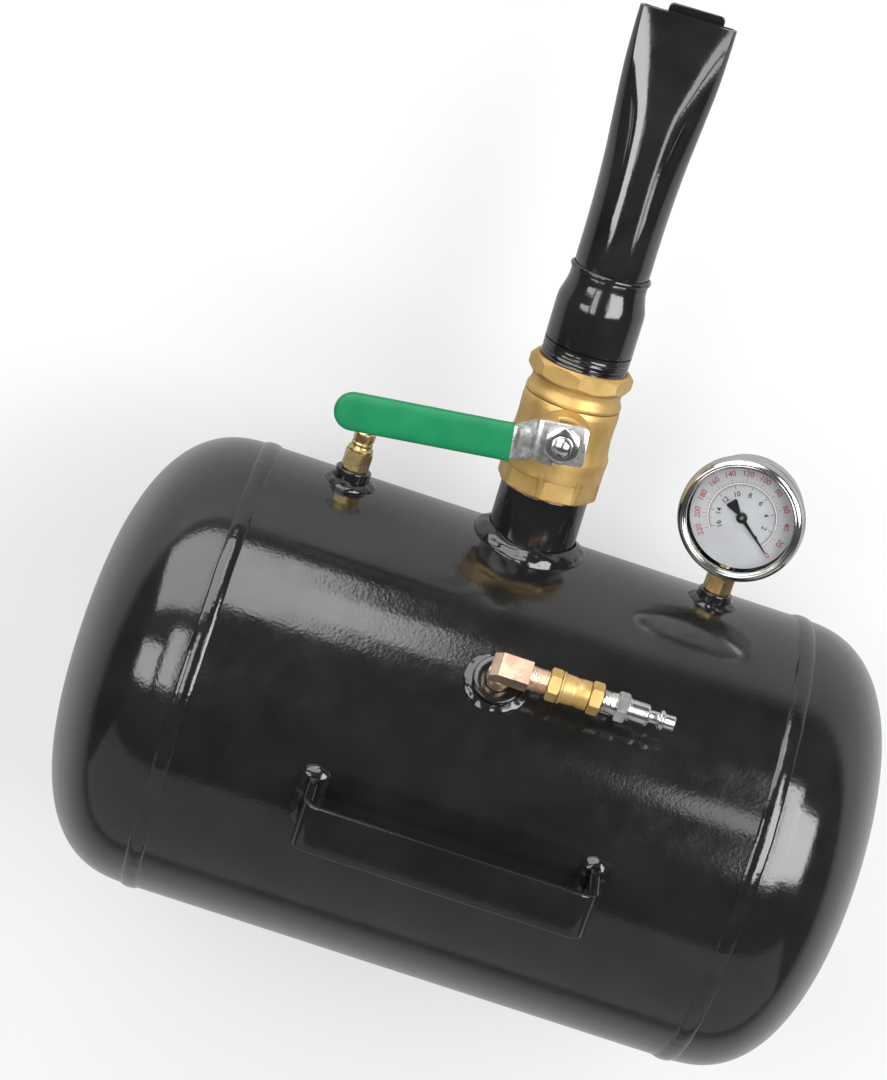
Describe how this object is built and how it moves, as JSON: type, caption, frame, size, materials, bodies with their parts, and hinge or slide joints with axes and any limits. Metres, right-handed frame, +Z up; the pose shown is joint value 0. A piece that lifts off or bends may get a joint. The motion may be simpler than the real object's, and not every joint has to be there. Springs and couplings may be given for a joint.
{
  "type": "bead seater blaster tank",
  "caption": "Portable air tank with a quick ball valve and a flattened blast barrel that seats tyre beads, with gauge, relief valve, check valve inlet and carry handle.",
  "frame": {"origin": "on the ground, under the middle of the whole object's box, with the tank standing on its two strap feet", "axes": "+X along the tank towards the gauge, +Y from the tank out along the barrel, +Z up through the carry handle"},
  "size_m": [0.4462, 0.5572, 0.319],
  "materials": {
    "black_paint": "gloss black powder coat with slight orange peel",
    "cast_brass": "sand-blasted satin brass",
    "forged_brass": "tumbled forged brass, pinkish",
    "turned_brass": "machined brass",
    "zinc_steel": "bright zinc plate",
    "nickel": "bright nickel plate",
    "stainless": "polished stainless",
    "spring_steel": "drawn wire",
    "green_vinyl": "satin dipped vinyl",
    "ptfe": "white seat plastic",
    "dial_face": "matt printed dial",
    "pointer_black": "matt black",
    "gauge_glass": "clear"
  },
  "bodies": {
    "tank": {"tank_shell": "black_paint", "tank_head_left": "black_paint", "tank_head_right": "black_paint", "girth_weld_left": "black_paint", "girth_weld_right": "black_paint", "carry_handle": "black_paint", "handle_weld_left": "black_paint", "handle_weld_right": "black_paint", "foot_left": "black_paint", "foot_right": "black_paint", "foot_weld_left_front": "black_paint", "foot_weld_left_back": "black_paint", "foot_weld_right_front": "black_paint", "foot_weld_right_back": "black_paint", "relief_boss": "black_paint", "relief_boss_weld": "black_paint", "gauge_boss": "black_paint", "gauge_boss_weld": "black_paint", "inlet_boss": "black_paint", "inlet_boss_weld": "black_paint", "outlet_nipple": "black_paint", "outlet_weld": "black_paint", "barrel_adapter": "black_paint", "barrel_tube": "black_paint", "barrel_weld": "black_paint", "rim_tab": "black_paint", "valve_body": "cast_brass", "valve_end": "cast_brass", "check_valve_body": "cast_brass", "check_valve_end": "cast_brass", "inlet_elbow": "forged_brass", "relief_body": "turned_brass", "relief_bonnet": "turned_brass", "gauge_socket": "turned_brass", "bourdon_tube": "turned_brass", "movement_plate": "turned_brass", "gland_nut": "zinc_steel", "air_plug": "nickel", "gauge_case": "stainless", "gauge_bezel": "stainless", "relief_spring": "spring_steel", "check_spring": "spring_steel", "valve_seat_lower": "ptfe", "valve_seat_upper": "ptfe", "stem_packing": "ptfe", "gauge_dial": "dial_face", "gauge_lens": "gauge_glass"},
    "ball_and_lever": {"valve_ball": "nickel", "valve_stem": "nickel", "lever": "zinc_steel", "lever_grip": "green_vinyl", "lever_nut": "nickel"},
    "relief_plunger": {"relief_stem": "turned_brass"},
    "pull_ring": {"relief_pull_ring": "spring_steel"},
    "poppet": {"check_poppet": "turned_brass"},
    "sector": {"sector_gear": "turned_brass"},
    "pointer_and_shaft": {"pointer": "pointer_black", "pointer_shaft": "zinc_steel"}
  },
  "joints": [
    {"name": "valve_lever_turn", "type": "hinge", "parent": "tank", "child": "ball_and_lever", "pos_m": [-0.00747, 0.04932, 0.151], "axis": [0, 0, -1], "range_deg": [0, 90]},
    {"name": "relief_lift", "type": "slide", "parent": "tank", "child": "relief_plunger", "axis": [0, 1, 0], "range_m": [0, 0.002], "stiffness_N_per_m": 3000, "springref_m": -0.004, "deforming": ["relief_spring"]},
    {"name": "pull_ring_swing", "type": "hinge", "parent": "relief_plunger", "child": "pull_ring", "pos_m": [-0.1075, 0.01866, 0.151], "axis": [1, 0, 0], "range_deg": [-10, 95]},
    {"name": "check_poppet_lift", "type": "slide", "parent": "tank", "child": "poppet", "axis": [-1, 0, 0], "range_m": [0, 0.0025], "stiffness_N_per_m": 300, "springref_m": -0.002, "deforming": ["check_spring"]},
    {"name": "gauge_sector_turn", "type": "hinge", "parent": "tank", "child": "sector", "pos_m": [0.09017, 0.0163, 0.14918], "axis": [0.1822, 0, -0.9833], "range_deg": [0, 42.5], "stiffness_Nm_per_rad": 0.01, "springref_deg": -5.73},
    {"name": "pointer_turn", "type": "hinge", "parent": "tank", "child": "pointer_and_shaft", "pos_m": [0.1, 0.03066, 0.151], "axis": [-0.1822, 0, 0.9833], "range_deg": [0, 255]}
  ],
  "couplings": [
    {"joint": "pointer_turn", "follows": "gauge_sector_turn", "ratio": 6}
  ]
}
